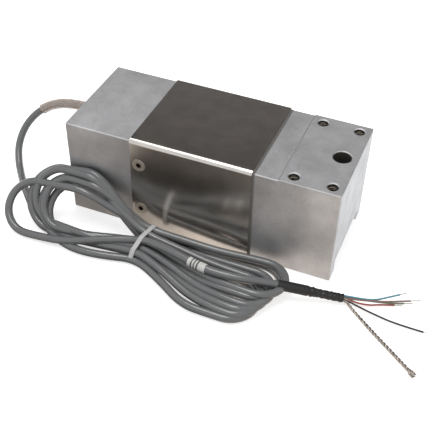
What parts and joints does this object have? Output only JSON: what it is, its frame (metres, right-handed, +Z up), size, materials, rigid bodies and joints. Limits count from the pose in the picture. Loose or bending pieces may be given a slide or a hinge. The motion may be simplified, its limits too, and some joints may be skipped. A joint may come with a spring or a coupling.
{
  "type": "single point load cell",
  "caption": "Single point load cell: an aluminium beam with tapped mounting holes and a folded steel cover sleeve, and a tied hank of grey signal cable with bare cores.",
  "frame": {"origin": "middle of the beam's base, on the surface it stands on", "axes": "+X along the beam from the fixed, cabled end to the loaded end; +Z up, out of the loading pad"},
  "size_m": [0.3308, 0.1407, 0.074],
  "materials": {
    "beam": "satin, milled",
    "sleeve": "polished",
    "screw": "satin",
    "seal": "matt",
    "gauge": "smooth film",
    "coating": "soft",
    "board": "solder resist",
    "brass": "turned",
    "resistor": "matt",
    "inner_wire": "smooth",
    "potting": "cast",
    "gland": "bright plated",
    "relief": "glossy",
    "cable": "satin",
    "tie": "satin",
    "marker": "satin",
    "shrink": "wrinkled, semi-gloss",
    "braid": "tinned copper",
    "tip": "tinned copper",
    "wire_blue": "smooth",
    "wire_green": "smooth",
    "wire_brown": "smooth",
    "wire_red": "smooth",
    "wire_black": "smooth"
  },
  "bodies": {
    "root": {"beam_body": "beam", "cover_sleeve": "sleeve", "sleeve_seal_left": "seal", "sleeve_seal_right": "seal", "cover_screws": "screw", "strain_gauges": "gauge", "gauge_coatings": "coating", "gauge_wires": "inner_wire", "terminal_board": "board", "board_standoffs": "brass", "board_screws": "screw", "trim_resistors": "resistor", "core_wires": "inner_wire", "cable_potting": "potting", "cable_gland": "gland", "gland_seal": "seal", "strain_relief": "relief", "cable_lead": "cable", "cable_hank": "cable", "hank_tie": "tie", "cable_tail": "cable", "marker_sleeve": "marker", "shrink_tube_wide": "shrink", "shrink_tube_narrow": "shrink", "shield_braid": "braid", "braid_end": "braid", "wire_blue": "wire_blue", "wire_green": "wire_green", "wire_brown": "wire_brown", "wire_red": "wire_red", "wire_black": "wire_black", "tip_blue": "tip", "tip_green": "tip", "tip_brown": "tip", "tip_red": "tip", "tip_black": "tip"}
  },
  "joints": []
}
